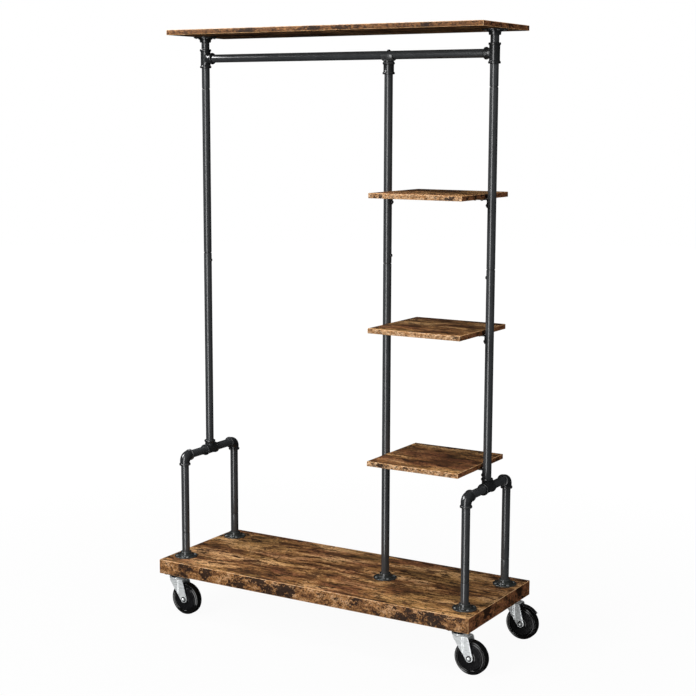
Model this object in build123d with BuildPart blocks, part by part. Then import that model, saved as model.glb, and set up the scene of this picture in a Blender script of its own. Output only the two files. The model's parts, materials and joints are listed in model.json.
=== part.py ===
from build123d import *
import math
import os

# Rolling clothes rack: a frame of black pipes and cast fittings on a thick base board with four
# swivel casters, a hanging rail, a top shelf and three side shelves.
# Millimetres. X runs along the rack, Y from the front (-) to the rear (+), Z up.
# The origin is on the floor, under the middle of the base board.

os.makedirs("parts", exist_ok=True)

# ---- Boards ----
BOARD_L, BOARD_W, BOARD_T = 1100, 420, 45
BOARD_Z = 130                                 # underside of the base board above the floor
DECK_Z = BOARD_Z + BOARD_T
TOP_L, TOP_W = 1074, 300
TOP_Z = 1820                                  # underside of the top shelf
SHELF_L, SHELF_W = 300, 300
SHELF_T = 15
SHELF_Z = {"shelf_upper": 1345, "shelf_middle": 954, "shelf_lower": 559}
ARRIS = 1.0                                   # small chamfer on every board edge

# ---- Pipe frame ----
TUBE_R = 12.5
TUBE_WALL = 1.5
UPRIGHT_X = 500                               # left and right uprights stand at -X and +X
POST_X = 160                                  # inner post
LEG_Y = 135                                   # front and rear leg of each hoop
HOOP_Z = 504                                  # pipe axis across the top of a hoop
RAIL_Z = 1753                                 # hanging rail axis
LEG_JOINT_Z = 255
POST_JOINT_Z = 1145
TOP_JOINT_Z = 1660
SIDES = {"left": -1, "right": 1}
ENDS = {"front": -1, "rear": 1}

# ---- Cast fittings ----
BODY_R = 15.5
BEAD_R = 18                                   # rolled collar at each mouth
BEAD_W = 6.5
BEAD_ROUND = 2.2
ARM = 29                                      # centre of a fitting to its mouth
SOCKET = 14                                   # how deep a pipe screws into a mouth
PLAY = 0.05
BORE_R = 10.5
BEND_R = 19                                   # centre line of an elbow
FLANGE_R, FLANGE_PLATE, FLANGE_H = 36, 4, 17
FLANGE_STEP_R, FLANGE_STEP_H = 22, 7.5
FLANGE_NECK_R = 17
FLANGE_EASE = 1.5
FLANGE_SCREW_R = 28.5                         # radius of the ring of screws
SADDLE_R = 16.5                               # shell under the hanging rail
SADDLE_L = 37
SADDLE_DROP = 55                              # rail axis down to the mouth of the saddle tee
SADDLE_BEAD_DROP = 20                         # rail axis down to the top of its upper collar
BOSS_R, BOSS_REACH, BOSS_DROP = 7, 20, 19     # round boss on the front of the saddle tee

# ---- Sleeves and fasteners ----
SLEEVE_R, SLEEVE_BORE_R, SLEEVE_HALF = 10.95, 8.5, 38
BOLT_R, BOLT_HEAD_R, BOLT_HEAD_H = 3, 5.2, 3.6
BOLT_L = 12
RAIL_BOLT_L = 36                              # through the hanging rail into the saddle tee
BOLT_OFFSET = 24                              # from a post joint to its bolt
SCREW_R, SCREW_HEAD_R, SCREW_HEAD_H = 2.2, 4.2, 2.6
BOARD_SCREW_L = 24
SHELF_SCREW_L = 11
SOCKET_SHARE = 0.45                           # hexagon socket, as a share of the head radius
SOCKET_DEPTH = 0.6                            # and of the head height

# ---- Shelf brackets ----
BRACKET_T, BRACKET_W = 2.5, 22
BRACKET_REACH, BRACKET_DROP = 64, 25          # horizontal and vertical leg from the post axis
BRACKET_SCREWS = (32, 54)                     # from the post axis
BRACKET_BOLT_DROP = 18
SHELF_X = (POST_X + UPRIGHT_X) / 2

# ---- Casters ----
CASTER_X, CASTER_Y = 507, 174                 # swivel axes
TRAIL = 38                                    # swivel axis to axle
WHEEL_R, TYRE_W, TYRE_EDGE = 51, 28, 6
HUB_R, HUB_RIM_R, HUB_BOSS_R = 38, 31, 13
HUB_HALF, WEB_HALF, BOSS_HALF = 12, 8, 15.4
PLATE_L, PLATE_W, PLATE_T = 62, 62, 2.5
PLATE_HOLES = (49, 49)
RACE_R, RACE_Z = 24.5, 114.5
BALL_R, BALL_RING_R, BALLS = 2.3, 18.5, 10
GROOVE_PLAY = 0.3
BALL_LIFT = 2.2                               # ball centre above the lower face of the race
KING_R, KING_HEAD_R, KING_HEAD_T = 5, 8, 3.6
KING_DROP = 4                                 # king pin end below the crown
CROWN_Z, CROWN_T = 111, 3
LEG_GAP, LEG_T = 16.5, 2.5                    # mid-plane to a fork leg's inner face, and its thickness
LEG_FRONT, FORK_BOSS_R = 13, 11               # leading edge of the fork leg, ahead of the swivel axis
LEG_TOE = 6                                   # depth of the leg at its leading corner
CROWN_SHORT = 5                               # the crown ends this far ahead of the axle
LEG_MEETS = (11, 209)                         # degrees round the axle where its edges meet the boss
AXLE_R, BUSH_R, AXLE_HEAD_R, AXLE_HEAD_H = 4, 6, 7, 5
THREAD_TAIL = 2                               # bolt end standing out of its nut
RUNNING = 0.08                                # radial clearance of a running fit
PIN_R, PIN_EYE = 2, 3.2                       # pedal pin, and the pedal's eye round it
PIN_X, PIN_Z = 30, 106.5
PEDAL_W, PEDAL_T, PEDAL_GAP = 16, 2.5, 3.5
PEDAL_FROM, PEDAL_TO = 98, 38                 # degrees above the horizontal, about the axle
PEDAL_TIP = 1
EYE_PLAY = 0.5                                # between the pedal's eye and each leg
CASTERS = {
    f"{end}_{side}": (SIDES[side] * CASTER_X, ENDS[end] * CASTER_Y)
    for end in ENDS
    for side in SIDES
}
BRAKED = ("rear_left", "rear_right")

flange_places = {
    "base_flanges_left": [(-UPRIGHT_X, -LEG_Y), (-UPRIGHT_X, LEG_Y)],
    "base_flanges_right": [(UPRIGHT_X, -LEG_Y), (UPRIGHT_X, LEG_Y)],
    "inner_base_flange": [(POST_X, 0)],
}
top_places = [(-UPRIGHT_X, 0), (UPRIGHT_X, 0)]


def save(builder, node):
    builder.part.label = node
    export_step(builder.part, f"parts/{node}.step")


def polar(radius, degrees):
    return (radius * math.cos(math.radians(degrees)), radius * math.sin(math.radians(degrees)))


def around(x, y, radius, count):
    """Points spaced evenly on a ring, the first on its diagonal."""
    ring = [polar(radius, 45 + 360 * i / count) for i in range(count)]
    return [(x + dx, y + dy) for dx, dy in ring]


def profile_plane(point, out):
    """A plane through the axis of a turned piece: its Y runs along out, from point."""
    across = Vector(0, 1, 0) if abs(Vector(*out).X) > 0.5 else Vector(1, 0, 0)
    return Plane(origin=point, x_dir=across, z_dir=across.cross(Vector(*out)))


# ---- Boards ----
with BuildPart() as base_board:
    with BuildSketch(Plane.XY.offset(BOARD_Z)):
        Rectangle(BOARD_L, BOARD_W)
    extrude(amount=BOARD_T)
    chamfer(base_board.edges(), length=ARRIS)
    with BuildSketch(Plane.XY.offset(DECK_Z)):
        for x, y in sum(flange_places.values(), []):
            with Locations(*around(x, y, FLANGE_SCREW_R, 4)):
                Circle(SCREW_R + PLAY)
    extrude(amount=-BOARD_SCREW_L, mode=Mode.SUBTRACT)
    with BuildSketch(Plane.XY.offset(BOARD_Z)):
        for x, y in CASTERS.values():
            with Locations((x, y)):
                with GridLocations(*PLATE_HOLES, 2, 2):
                    Circle(SCREW_R + PLAY)
    extrude(amount=BOARD_SCREW_L, mode=Mode.SUBTRACT)
save(base_board, "base_board")

with BuildPart() as top_shelf:
    with BuildSketch(Plane.XY.offset(TOP_Z)):
        Rectangle(TOP_L, TOP_W)
    extrude(amount=SHELF_T)
    chamfer(top_shelf.edges(), length=ARRIS)
    with BuildSketch(Plane.XY.offset(TOP_Z)):
        for x, y in top_places:
            with Locations(*around(x, y, FLANGE_SCREW_R, 4)):
                Circle(SCREW_R + PLAY)
    extrude(amount=SHELF_SCREW_L, mode=Mode.SUBTRACT)
save(top_shelf, "top_shelf")

bracket_screw_xs = [POST_X + s for s in BRACKET_SCREWS] + [UPRIGHT_X - s for s in BRACKET_SCREWS]
for node, z in SHELF_Z.items():
    with BuildPart() as shelf:
        with BuildSketch(Plane.XY.offset(z)):
            with Locations((SHELF_X, 0)):
                Rectangle(SHELF_L, SHELF_W)
        extrude(amount=SHELF_T)
        chamfer(shelf.edges(), length=ARRIS)
        with BuildSketch(Plane.XY.offset(z)):
            with Locations(*[(x, 0) for x in bracket_screw_xs]):
                Circle(SCREW_R + PLAY)
        extrude(amount=SHELF_SCREW_L, mode=Mode.SUBTRACT)
    save(shelf, node)


# ---- Pipes ----
def pipes(node, runs, bolt_holes=()):
    """Straight round pipes from start to end. bolt_holes are (point on the axis, direction out)."""
    with BuildPart() as pipe:
        for start, end in runs:
            length = (Vector(*end) - Vector(*start)).length
            with BuildSketch(Plane(origin=start, z_dir=Vector(*end) - Vector(*start))):
                Circle(TUBE_R)
                Circle(TUBE_R - TUBE_WALL, mode=Mode.SUBTRACT)
            extrude(amount=length)
        for point, out in bolt_holes:
            with BuildSketch(Plane(origin=point, z_dir=out)):
                Circle(BOLT_R + RUNNING)
            extrude(amount=TUBE_R, mode=Mode.SUBTRACT)
    save(pipe, node)


def upright_run(x, low, high):
    return ((x, 0, low), (x, 0, high))


seat = ARM - SOCKET                           # centre of a fitting to the end of its pipe
foot = DECK_Z + FLANGE_PLATE
bracket_bolt_zs = [z - BRACKET_BOLT_DROP for z in SHELF_Z.values()]
legs = {f"{e}_{s}": (SIDES[s] * UPRIGHT_X, ENDS[e] * LEG_Y) for e in ENDS for s in SIDES}

pipes("leg_nipples", [((x, y, foot), (x, y, LEG_JOINT_Z)) for x, y in legs.values()])
for place, (x, y) in legs.items():
    pipes(f"leg_{place}", [((x, y, LEG_JOINT_Z), (x, y, HOOP_Z - seat))])
pipes(
    "hoop_pipes",
    [
        ((x, math.copysign(seat, y), HOOP_Z), (x, y - math.copysign(seat, y), HOOP_Z))
        for x, y in legs.values()
    ],
)

joint_bolts = [((POST_X, 0, POST_JOINT_Z + BOLT_OFFSET), (1, 0, 0))]
for side, sign in SIDES.items():
    x = sign * UPRIGHT_X
    inward = (-sign, 0, 0)
    joint_bolt = ((x, 0, POST_JOINT_Z - BOLT_OFFSET), inward)
    joint_bolts.append(joint_bolt)
    shelf_bolts = [((x, 0, z), inward) for z in bracket_bolt_zs] if side == "right" else []
    low_holes = [b for b in shelf_bolts if b[0][2] < POST_JOINT_Z]
    high_holes = [b for b in shelf_bolts if b[0][2] > POST_JOINT_Z]
    lower_run = upright_run(x, HOOP_Z + seat, POST_JOINT_Z)
    pipes(f"upright_lower_{side}", [lower_run], low_holes + [joint_bolt])
    pipes(f"upright_upper_{side}", [upright_run(x, POST_JOINT_Z, TOP_JOINT_Z)], high_holes)
pipes("upright_tops", [upright_run(x, TOP_JOINT_Z, RAIL_Z - seat) for x, _ in top_places])
pipes("top_nipples", [upright_run(x, RAIL_Z + seat, TOP_Z - FLANGE_PLATE) for x, _ in top_places])

post_bolts = [((POST_X, 0, z), (1, 0, 0)) for z in bracket_bolt_zs]
post_top = RAIL_Z - SADDLE_DROP + SOCKET
pipes(
    "inner_post_lower",
    [upright_run(POST_X, foot, POST_JOINT_Z)],
    [b for b in post_bolts if b[0][2] < POST_JOINT_Z],
)
pipes(
    "inner_post_upper",
    [upright_run(POST_X, POST_JOINT_Z, post_top)],
    [b for b in post_bolts if b[0][2] > POST_JOINT_Z] + joint_bolts[:1],
)
pipes(
    "hanging_rail",
    [((-UPRIGHT_X + seat, 0, RAIL_Z), (UPRIGHT_X - seat, 0, RAIL_Z))],
    [((POST_X, 0, RAIL_Z), (0, 0, 1)), ((POST_X, 0, RAIL_Z), (0, 0, -1))],
)

# Plain sleeves inside the pipes carry each joint.
with BuildPart() as joint_sleeves:
    joints = [(x, y, LEG_JOINT_Z) for x, y in legs.values()]
    joints += [(x, 0, z) for x, _ in top_places for z in (POST_JOINT_Z, TOP_JOINT_Z)]
    joints += [(POST_X, 0, POST_JOINT_Z)]
    for x, y, z in joints:
        with BuildSketch(Plane.XY.offset(z - SLEEVE_HALF)):
            with Locations((x, y)):
                Circle(SLEEVE_R)
                Circle(SLEEVE_BORE_R, mode=Mode.SUBTRACT)
        extrude(amount=2 * SLEEVE_HALF)
    for point, out in joint_bolts:
        with BuildSketch(Plane(origin=point, z_dir=out)):
            Circle(BOLT_R + PLAY)
        extrude(amount=TUBE_R, mode=Mode.SUBTRACT)
save(joint_sleeves, "joint_sleeves")


# ---- Cast fittings ----
def of_radius(radius):
    return lambda edge: edge.geom_type == GeomType.CIRCLE and abs(edge.radius - radius) < 0.01


def fitting(node, centre, arms, bend=None):
    """A hollow cast fitting with a beaded mouth on each arm. bend is an elbow's centre line."""
    centre = Vector(*centre)
    arms = [Vector(*arm) for arm in arms]
    mouths = [Plane(origin=centre + arm * ARM, z_dir=arm) for arm in arms]
    with BuildPart() as cast:
        if bend:
            with BuildSketch(mouths[0]):
                Circle(BODY_R)
            sweep(path=bend)
        else:
            for arm in arms:
                with BuildSketch(Plane(origin=centre, z_dir=arm)):
                    Circle(BODY_R)
                extrude(amount=ARM)
        for mouth in mouths:
            with BuildSketch(mouth):
                Circle(BEAD_R)
            extrude(amount=-BEAD_W)
        fillet(cast.edges().filter_by(of_radius(BEAD_R)), radius=BEAD_ROUND)
        if bend:
            with BuildSketch(mouths[0]):
                Circle(BORE_R)
            sweep(path=bend, mode=Mode.SUBTRACT)
        else:
            for arm in arms:
                with BuildSketch(Plane(origin=centre, z_dir=arm)):
                    Circle(BORE_R)
                extrude(amount=ARM, mode=Mode.SUBTRACT)
        for mouth in mouths:
            with BuildSketch(mouth):
                Circle(TUBE_R + PLAY)
            extrude(amount=-SOCKET, mode=Mode.SUBTRACT)
    save(cast, node)


for place, (x, y) in legs.items():
    inward = -math.copysign(1, y)
    with BuildLine() as bend_line:
        FilletPolyline(
            (x, y, HOOP_Z - ARM),
            (x, y, HOOP_Z),
            (x, y + inward * ARM, HOOP_Z),
            radius=BEND_R,
        )
    fitting(f"elbow_{place}", (x, y, HOOP_Z), [(0, 0, -1), (0, inward, 0)], bend_line.wire())

for side, sign in SIDES.items():
    x = sign * UPRIGHT_X
    fitting(f"hoop_tee_{side}", (x, 0, HOOP_Z), [(0, -1, 0), (0, 1, 0), (0, 0, 1)])
    fitting(f"top_tee_{side}", (x, 0, RAIL_Z), [(0, 0, -1), (0, 0, 1), (-sign, 0, 0)])


def flanges(node, places, seat_z, up):
    """Round stepped flanges seated at seat_z. up is 1 on the base board and -1 under the top shelf."""
    with BuildPart() as flange:
        for x, y in places:
            with BuildSketch(profile_plane((x, y, seat_z), (0, 0, up))):
                with BuildLine():
                    Polyline(
                        (BORE_R, 0),
                        (FLANGE_R, 0),
                        (FLANGE_R, FLANGE_PLATE - 1),
                        (FLANGE_R - 1, FLANGE_PLATE),
                        (FLANGE_STEP_R + 1, FLANGE_PLATE),
                        (FLANGE_STEP_R, FLANGE_STEP_H),
                        (FLANGE_NECK_R + FLANGE_EASE, FLANGE_STEP_H + FLANGE_EASE),
                        (FLANGE_NECK_R, FLANGE_H - FLANGE_EASE),
                        (FLANGE_NECK_R - FLANGE_EASE, FLANGE_H),
                        (TUBE_R + PLAY, FLANGE_H),
                        (TUBE_R + PLAY, FLANGE_PLATE),
                        (BORE_R, FLANGE_PLATE),
                        close=True,
                    )
                make_face()
            revolve(axis=Axis((x, y, seat_z), (0, 0, 1)))
            with BuildSketch(Plane.XY.offset(seat_z)):
                with Locations(*around(x, y, FLANGE_SCREW_R, 4)):
                    Circle(SCREW_R + PLAY)
            extrude(amount=up * FLANGE_STEP_H, mode=Mode.SUBTRACT)
    save(flange, node)


for node, places in flange_places.items():
    flanges(node, places, DECK_Z, 1)
flanges("top_flanges", top_places, TOP_Z, -1)

with BuildPart() as saddle_tee:
    mouth_z = RAIL_Z - SADDLE_DROP
    with BuildSketch(Plane.XY.offset(mouth_z)):
        with Locations((POST_X, 0)):
            Circle(BODY_R)
    extrude(amount=SADDLE_DROP)
    for collar_z in (mouth_z, RAIL_Z - SADDLE_BEAD_DROP - BEAD_W):
        with BuildSketch(Plane.XY.offset(collar_z)):
            with Locations((POST_X, 0)):
                Circle(BEAD_R)
        extrude(amount=BEAD_W)
    fillet(saddle_tee.edges().filter_by(of_radius(BEAD_R)), radius=BEAD_ROUND)
    with BuildSketch(Plane.YZ.offset(POST_X - SADDLE_L / 2)):
        with Locations((0, RAIL_Z)):
            Circle(SADDLE_R)
    extrude(amount=SADDLE_L)
    with BuildSketch(Plane.XZ.offset(0)):
        with Locations((POST_X, RAIL_Z - BOSS_DROP)):
            Circle(BOSS_R)
    extrude(amount=BOSS_REACH)
    with BuildSketch(Plane.XZ.offset(BOSS_REACH)):
        with Locations((POST_X, RAIL_Z - BOSS_DROP)):
            RegularPolygon(BOLT_R, 6)
    extrude(amount=-BOLT_R, mode=Mode.SUBTRACT)
    with BuildSketch(Plane.YZ.offset(POST_X - SADDLE_L)):
        with Locations((0, RAIL_Z)):
            Circle(TUBE_R + PLAY)
            Rectangle(4 * SADDLE_R, 2 * SADDLE_R, align=(Align.CENTER, Align.MIN))
    extrude(amount=2 * SADDLE_L, mode=Mode.SUBTRACT)
    with BuildSketch(Plane.XY.offset(mouth_z)):
        with Locations((POST_X, 0)):
            Circle(TUBE_R + PLAY)
    extrude(amount=SOCKET, mode=Mode.SUBTRACT)
    with BuildSketch(Plane.XY.offset(mouth_z)):
        with Locations((POST_X, 0)):
            Circle(BOLT_R + PLAY)
    extrude(amount=SADDLE_DROP, mode=Mode.SUBTRACT)
save(saddle_tee, "saddle_tee")

# ---- Shelf brackets ----
with BuildPart() as shelf_brackets:
    for z in SHELF_Z.values():
        for post_x, facing in ((POST_X, 1), (UPRIGHT_X, -1)):
            side_view = Plane(origin=(post_x, 0, z), x_dir=(facing, 0, 0), z_dir=(0, -facing, 0))
            with BuildSketch(side_view):
                with BuildLine():
                    Polyline(
                        (TUBE_R - BRACKET_T, 0),
                        (BRACKET_REACH, 0),
                        (BRACKET_REACH, -BRACKET_T),
                        (TUBE_R + BRACKET_T, -BRACKET_T),
                        (TUBE_R + BRACKET_T, -BRACKET_DROP),
                        (TUBE_R - BRACKET_T, -BRACKET_DROP),
                        close=True,
                    )
                make_face()
            extrude(amount=BRACKET_W / 2, both=True)
            with BuildSketch(Plane.XY.offset(z)):
                with Locations((post_x, 0)):
                    Circle(TUBE_R + PLAY)
            extrude(amount=-BRACKET_DROP, mode=Mode.SUBTRACT)
            with BuildSketch(Plane.XY.offset(z)):
                with Locations(*[(post_x + facing * s, 0) for s in BRACKET_SCREWS]):
                    Circle(SCREW_R + PLAY)
            extrude(amount=-BRACKET_T, mode=Mode.SUBTRACT)
            with BuildSketch(Plane(origin=(post_x, 0, z - BRACKET_BOLT_DROP), z_dir=(facing, 0, 0))):
                Circle(BOLT_R + RUNNING)
            extrude(amount=BRACKET_REACH, mode=Mode.SUBTRACT)
save(shelf_brackets, "shelf_brackets")


# ---- Fasteners ----
def fasteners(node, places, shank_r, shank_l, head_r, head_h):
    """Round-headed screws. places are (point under the head, direction the head faces)."""
    with BuildPart() as group:
        for point, out in places:
            with BuildSketch(profile_plane(point, out)):
                with BuildLine():
                    Line((0, -shank_l), (shank_r - 1, -shank_l))
                    Line((shank_r - 1, -shank_l), (shank_r, 1 - shank_l))
                    Line((shank_r, 1 - shank_l), (shank_r, 0))
                    Line((shank_r, 0), (head_r, 0))
                    EllipticalCenterArc((0, 0), head_r, head_h, arc_size=90)
                    Line((0, head_h), (0, -shank_l))
                make_face()
            revolve(axis=Axis(point, out))
            with BuildSketch(Plane(origin=Vector(*point) + Vector(*out) * head_h, z_dir=out)):
                RegularPolygon(head_r * SOCKET_SHARE, 6)
            extrude(amount=-head_h * SOCKET_DEPTH, mode=Mode.SUBTRACT)
    save(group, node)


def flange_screws(places, seat_z, up):
    z = seat_z + up * FLANGE_PLATE
    return [
        ((sx, sy, z), (0, 0, up))
        for x, y in places
        for sx, sy in around(x, y, FLANGE_SCREW_R, 4)
    ]


shelf_screw_places = [
    ((x, 0, z - BRACKET_T), (0, 0, -1)) for z in SHELF_Z.values() for x in bracket_screw_xs
]
fasteners(
    "shelf_screws",
    shelf_screw_places + flange_screws(top_places, TOP_Z, -1),
    SCREW_R,
    SHELF_SCREW_L,
    SCREW_HEAD_R,
    SCREW_HEAD_H,
)
caster_screw_places = [
    ((x + dx * PLATE_HOLES[0] / 2, y + dy * PLATE_HOLES[1] / 2, BOARD_Z - PLATE_T), (0, 0, -1))
    for x, y in CASTERS.values()
    for dx in (-1, 1)
    for dy in (-1, 1)
]
fasteners(
    "board_screws",
    flange_screws(sum(flange_places.values(), []), DECK_Z, 1) + caster_screw_places,
    SCREW_R,
    BOARD_SCREW_L,
    SCREW_HEAD_R,
    SCREW_HEAD_H,
)


def on_surface(bolt, reach):
    """The point under the head of a bolt whose hole runs out from an axis."""
    point, out = bolt
    return (tuple(Vector(*point) + Vector(*out) * reach), out)


bolts = [on_surface(bolt, TUBE_R) for bolt in joint_bolts]
for post_x, facing in ((POST_X, 1), (UPRIGHT_X, -1)):
    for z in bracket_bolt_zs:
        bolts.append(on_surface(((post_x, 0, z), (facing, 0, 0)), TUBE_R + BRACKET_T))
fasteners("pipe_bolts", bolts, BOLT_R, BOLT_L, BOLT_HEAD_R, BOLT_HEAD_H)
rail_bolt = on_surface(((POST_X, 0, RAIL_Z), (0, 0, 1)), TUBE_R)
fasteners("rail_bolt", [rail_bolt], BOLT_R, RAIL_BOLT_L, BOLT_HEAD_R, BOLT_HEAD_H)

# ---- Casters ----
with BuildPart() as caster_plates:
    for x, y in CASTERS.values():
        with BuildSketch(Plane.XY.offset(BOARD_Z - PLATE_T)):
            with Locations((x, y)):
                RectangleRounded(PLATE_L, PLATE_W, 6)
                with GridLocations(*PLATE_HOLES, 2, 2):
                    Circle(SCREW_R + PLAY, mode=Mode.SUBTRACT)
        extrude(amount=PLATE_T)
        with BuildSketch(Plane.XY.offset(RACE_Z)):
            with Locations((x, y)):
                Circle(RACE_R)
        extrude(amount=BOARD_Z - PLATE_T - RACE_Z)
        with BuildSketch(Plane.XY.offset(RACE_Z)):
            with Locations((x, y)):
                Circle(BALL_RING_R + BALL_R + GROOVE_PLAY)
                Circle(BALL_RING_R - BALL_R - GROOVE_PLAY, mode=Mode.SUBTRACT)
        extrude(amount=2 * BALL_R, mode=Mode.SUBTRACT)
        with BuildSketch(Plane.XY.offset(CROWN_Z - KING_DROP)):
            with Locations((x, y)):
                Circle(KING_R)
        extrude(amount=RACE_Z - CROWN_Z + KING_DROP)
        with BuildSketch(Plane.XY.offset(CROWN_Z - KING_DROP)):
            with Locations((x, y)):
                Circle(KING_HEAD_R)
        extrude(amount=KING_HEAD_T)
save(caster_plates, "caster_plates")

with BuildPart() as swivel_balls:
    for x, y in CASTERS.values():
        ring = around(x, y, BALL_RING_R, BALLS)
        with Locations(*[(bx, by, RACE_Z + BALL_LIFT) for bx, by in ring]):
            Sphere(BALL_R)
save(swivel_balls, "swivel_balls")


def at_wheel(x, y, reach=0.0):
    """The wheel's mid-plane, moved by reach along +Y: local X is along +X and local Y is up."""
    return Plane(origin=(x + TRAIL, y + reach, WHEEL_R), x_dir=(1, 0, 0), z_dir=(0, -1, 0))


def caster(place, x, y):
    braked = place in BRAKED
    axle_axis = Axis((x + TRAIL, y, WHEEL_R), (0, 1, 0))
    crown_up = CROWN_Z + CROWN_T - WHEEL_R

    with BuildPart() as fork:
        with BuildSketch(Plane.XY.offset(CROWN_Z)):
            with Locations((x, y)):
                Circle(RACE_R)
            with Locations((x - LEG_FRONT, y)):
                Rectangle(
                    LEG_FRONT + TRAIL - CROWN_SHORT, 2 * (LEG_GAP + LEG_T), align=(Align.MIN, Align.CENTER)
                )
            with Locations((x, y)):
                Circle(KING_R + RUNNING, mode=Mode.SUBTRACT)
        extrude(amount=CROWN_T)
        for reach in (LEG_GAP + LEG_T, -LEG_GAP):
            with BuildSketch(at_wheel(x, y, reach)):
                with BuildLine():
                    Polyline(
                        (-TRAIL - LEG_FRONT, crown_up),
                        (-CROWN_SHORT, crown_up),
                        polar(FORK_BOSS_R, LEG_MEETS[0]),
                        polar(FORK_BOSS_R, LEG_MEETS[1]),
                        (-TRAIL - LEG_FRONT, crown_up - LEG_TOE),
                        close=True,
                    )
                make_face()
                Circle(FORK_BOSS_R)
                if braked:
                    with Locations((PIN_X - TRAIL, PIN_Z - WHEEL_R)):
                        Circle(PIN_R + PLAY, mode=Mode.SUBTRACT)
                Circle(AXLE_R + PLAY, mode=Mode.SUBTRACT)
            extrude(amount=LEG_T)
    save(fork, f"fork_{place}")

    outer = LEG_GAP + LEG_T
    with BuildPart() as axle:
        with BuildSketch(at_wheel(x, y, outer + AXLE_HEAD_H)):
            Circle(AXLE_R)
        extrude(amount=2 * (outer + AXLE_HEAD_H) + THREAD_TAIL)
        chamfer(axle.edges().filter_by(of_radius(AXLE_R)), length=0.8)
        for reach in (outer + AXLE_HEAD_H, -outer):
            with BuildSketch(at_wheel(x, y, reach)):
                RegularPolygon(AXLE_HEAD_R, 6)
            extrude(amount=AXLE_HEAD_H)
        with BuildSketch(at_wheel(x, y, LEG_GAP - PLAY)):
            Circle(BUSH_R)
            Circle(AXLE_R + PLAY, mode=Mode.SUBTRACT)
        extrude(amount=2 * (LEG_GAP - PLAY))
        if braked:
            with BuildSketch(at_wheel(x, y, outer)):
                with Locations((PIN_X - TRAIL, PIN_Z - WHEEL_R)):
                    Circle(PIN_R)
            extrude(amount=2 * outer)
    save(axle, f"axle_{place}")

    across = profile_plane((x + TRAIL, y, WHEEL_R), (0, 1, 0))
    with BuildPart() as hub:
        with BuildSketch(across):
            with BuildLine():
                Polyline(
                    (BUSH_R + RUNNING, 0),
                    (BUSH_R + RUNNING, BOSS_HALF),
                    (HUB_BOSS_R - 1, BOSS_HALF),
                    (HUB_BOSS_R, WEB_HALF),
                    (HUB_RIM_R, WEB_HALF),
                    (HUB_RIM_R + 1, HUB_HALF),
                    (HUB_R, HUB_HALF),
                    (HUB_R, 0),
                    close=True,
                )
            make_face()
            mirror(about=Plane.XZ)
        revolve(axis=axle_axis)
    save(hub, f"wheel_hub_{place}")

    with BuildPart() as tyre:
        with BuildSketch(across):
            with Locations(((HUB_R + WHEEL_R) / 2, 0)):
                Rectangle(WHEEL_R - HUB_R, TYRE_W)
        revolve(axis=axle_axis)
        fillet(tyre.edges().filter_by(of_radius(WHEEL_R)), radius=TYRE_EDGE)
    save(tyre, f"tyre_{place}")

    if braked:
        inner_r = WHEEL_R + PEDAL_GAP
        outer_r = inner_r + PEDAL_T
        with BuildPart() as pedal:
            with BuildSketch(at_wheel(x, y, PEDAL_W / 2)):
                with BuildLine():
                    under = CenterArc((0, 0), inner_r, PEDAL_TO, PEDAL_FROM - PEDAL_TO)
                    over = CenterArc((0, 0), outer_r, PEDAL_TO, PEDAL_FROM - PEDAL_TO)
                    Line(under @ 1, over @ 1)
                    Line(under @ 0, over @ 0)
                make_face()
                with Locations(under @ 0):
                    Rectangle(PEDAL_TIP + PEDAL_T, PEDAL_T, align=(Align.MIN, Align.MIN))
            extrude(amount=PEDAL_W)
            with BuildSketch(at_wheel(x, y, LEG_GAP - EYE_PLAY)):
                with Locations((PIN_X - TRAIL, PIN_Z - WHEEL_R)):
                    Circle(PIN_EYE)
            extrude(amount=2 * (LEG_GAP - EYE_PLAY))
            with BuildSketch(at_wheel(x, y, LEG_GAP - EYE_PLAY)):
                with Locations((PIN_X - TRAIL, PIN_Z - WHEEL_R)):
                    Circle(PIN_R + RUNNING)
            extrude(amount=2 * (LEG_GAP - EYE_PLAY), mode=Mode.SUBTRACT)
        save(pedal, f"brake_pedal_{place}")


for place, (x, y) in CASTERS.items():
    caster(place, x, y)
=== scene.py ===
import json
import math
import bmesh
import bpy
from mathutils import Matrix, Vector

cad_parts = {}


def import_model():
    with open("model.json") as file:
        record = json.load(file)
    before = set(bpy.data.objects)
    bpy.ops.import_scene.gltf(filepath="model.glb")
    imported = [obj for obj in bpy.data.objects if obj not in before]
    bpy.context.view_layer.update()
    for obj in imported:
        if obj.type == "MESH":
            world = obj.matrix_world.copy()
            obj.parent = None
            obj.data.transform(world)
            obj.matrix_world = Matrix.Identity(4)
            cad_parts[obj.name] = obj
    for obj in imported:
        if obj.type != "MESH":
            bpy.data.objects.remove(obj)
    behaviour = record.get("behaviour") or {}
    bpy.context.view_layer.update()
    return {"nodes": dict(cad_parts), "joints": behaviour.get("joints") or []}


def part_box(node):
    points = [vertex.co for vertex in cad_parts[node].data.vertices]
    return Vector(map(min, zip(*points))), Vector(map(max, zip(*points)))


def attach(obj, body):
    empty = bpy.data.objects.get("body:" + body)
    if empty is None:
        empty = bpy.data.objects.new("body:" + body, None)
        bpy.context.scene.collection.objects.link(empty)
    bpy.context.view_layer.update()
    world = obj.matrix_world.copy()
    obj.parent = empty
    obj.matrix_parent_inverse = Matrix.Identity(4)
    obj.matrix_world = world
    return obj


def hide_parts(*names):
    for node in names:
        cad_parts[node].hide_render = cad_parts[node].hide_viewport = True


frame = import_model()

MM = 0.001
X, Y, Z = Vector((1, 0, 0)), Vector((0, 1, 0)), Vector((0, 0, 1))
AROUND = 64                      # facets round a turned piece
SIDES = {"left": -1, "right": 1}
ENDS = {"front": -1, "rear": 1}
PLACES = [f"{end}_{side}" for end in ENDS for side in SIDES]


# ---- Places and sizes, from the frame ----
def middle(node):
    low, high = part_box(node)
    return (low + high) / 2


def size(node):
    low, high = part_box(node)
    return high - low


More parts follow.
